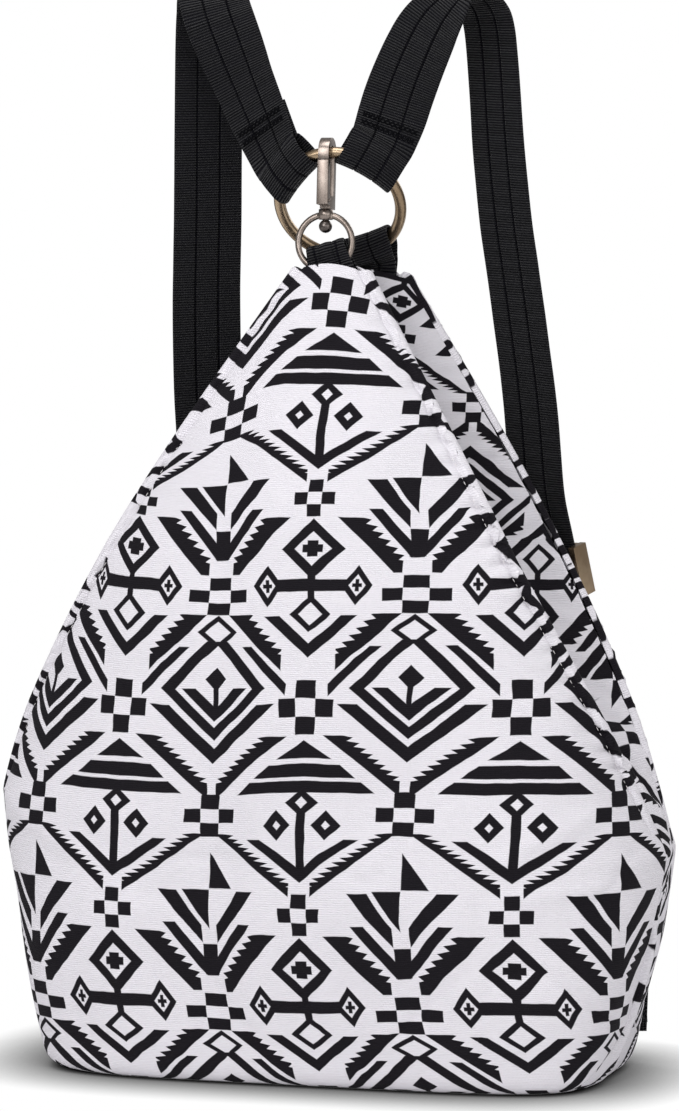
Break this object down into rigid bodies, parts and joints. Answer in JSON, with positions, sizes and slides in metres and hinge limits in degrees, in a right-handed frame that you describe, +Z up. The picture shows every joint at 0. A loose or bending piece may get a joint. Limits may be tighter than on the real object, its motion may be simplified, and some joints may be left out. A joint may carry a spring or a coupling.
{
  "type": "backpack",
  "caption": "Printed canvas backpack that narrows to a front and a rear horn, held together by a swivel snap hook and a large ring, with black webbing shoulder straps.",
  "frame": {"origin": "middle of the base, on the floor", "axes": "+Z up, front towards -Y, +X to the right as seen from the front"},
  "size_m": [0.3229, 0.1646, 0.5021],
  "materials": {
    "canvas": "undyed ribbed cotton canvas with a black geometric print",
    "webbing": "black cross-ribbed webbing in three bands",
    "zip_tape": "black woven zip tape",
    "zip_coil": "black nylon coil",
    "antique_brass": "darkened brass, brighter where it is rubbed",
    "gunmetal": "brown-grey plated steel",
    "spring_steel": "spring steel"
  },
  "bodies": {
    "bag": {"front_panel": "canvas", "rear_panel": "canvas", "left_side_panel": "canvas", "right_side_panel": "canvas", "base_panel": "canvas", "front_tab": "webbing", "rear_tab": "webbing", "left_strap": "webbing", "right_strap": "webbing", "left_strap_tail": "webbing", "right_strap_tail": "webbing", "left_lower_tab": "webbing", "right_lower_tab": "webbing", "zip_tape_left": "zip_tape", "zip_tape_right": "zip_tape", "zip_coil_left": "zip_coil", "zip_coil_right": "zip_coil", "left_square_ring": "antique_brass", "right_square_ring": "antique_brass", "zip_top_stop": "antique_brass", "zip_bottom_stop": "antique_brass", "snap_eye": "gunmetal"},
    "ring": {"large_ring": "antique_brass"},
    "hook": {"snap_hook": "gunmetal", "swivel_stud": "gunmetal", "gate_pin": "gunmetal"},
    "gate": {"snap_gate": "gunmetal", "gate_spring": "spring_steel"},
    "left_slider": {"left_strap_slider": "antique_brass"},
    "right_slider": {"right_strap_slider": "antique_brass"},
    "zip": {"zip_slider": "antique_brass"},
    "pull": {"zip_pull": "antique_brass"}
  },
  "joints": [
    {"name": "ring_spin", "type": "hinge", "parent": "bag", "child": "ring", "pos_m": [-0.00195, 0.00867, 0.40187], "axis": [0.0823, -0.8872, -0.454], "continuous": true},
    {"name": "hook_swivel", "type": "hinge", "parent": "bag", "child": "hook", "pos_m": [-0.00301, -0.01262, 0.38638], "axis": [-0.0325, 0.1991, 0.9794], "range_deg": [-6, 8]},
    {"name": "gate_hinge", "type": "hinge", "parent": "hook", "child": "gate", "pos_m": [-0.00358, -0.01307, 0.40575], "axis": [-0.9994, -0.0172, -0.0296], "range_deg": [0, 16], "stiffness_Nm_per_rad": 0.02, "springref_deg": -17.19},
    {"name": "left_slider_slide", "type": "slide", "parent": "bag", "child": "left_slider", "axis": [-0.1543, 0.1755, -0.9723], "range_m": [-0.012, 0.045], "deforming": ["left_strap_tail"]},
    {"name": "right_slider_slide", "type": "slide", "parent": "bag", "child": "right_slider", "axis": [0.1543, 0.1763, -0.9722], "range_m": [-0.012, 0.045], "deforming": ["right_strap_tail"]},
    {"name": "zip_slide", "type": "slide", "parent": "bag", "child": "zip", "axis": [0.0076, -0.0362, 0.9993], "range_m": [-0.06, 0]},
    {"name": "pull_hinge", "type": "hinge", "parent": "zip", "child": "pull", "pos_m": [0.00084, -0.00559, 0.35602], "axis": [1, 0.0003, -0.0076], "range_deg": [0, 20]}
  ]
}
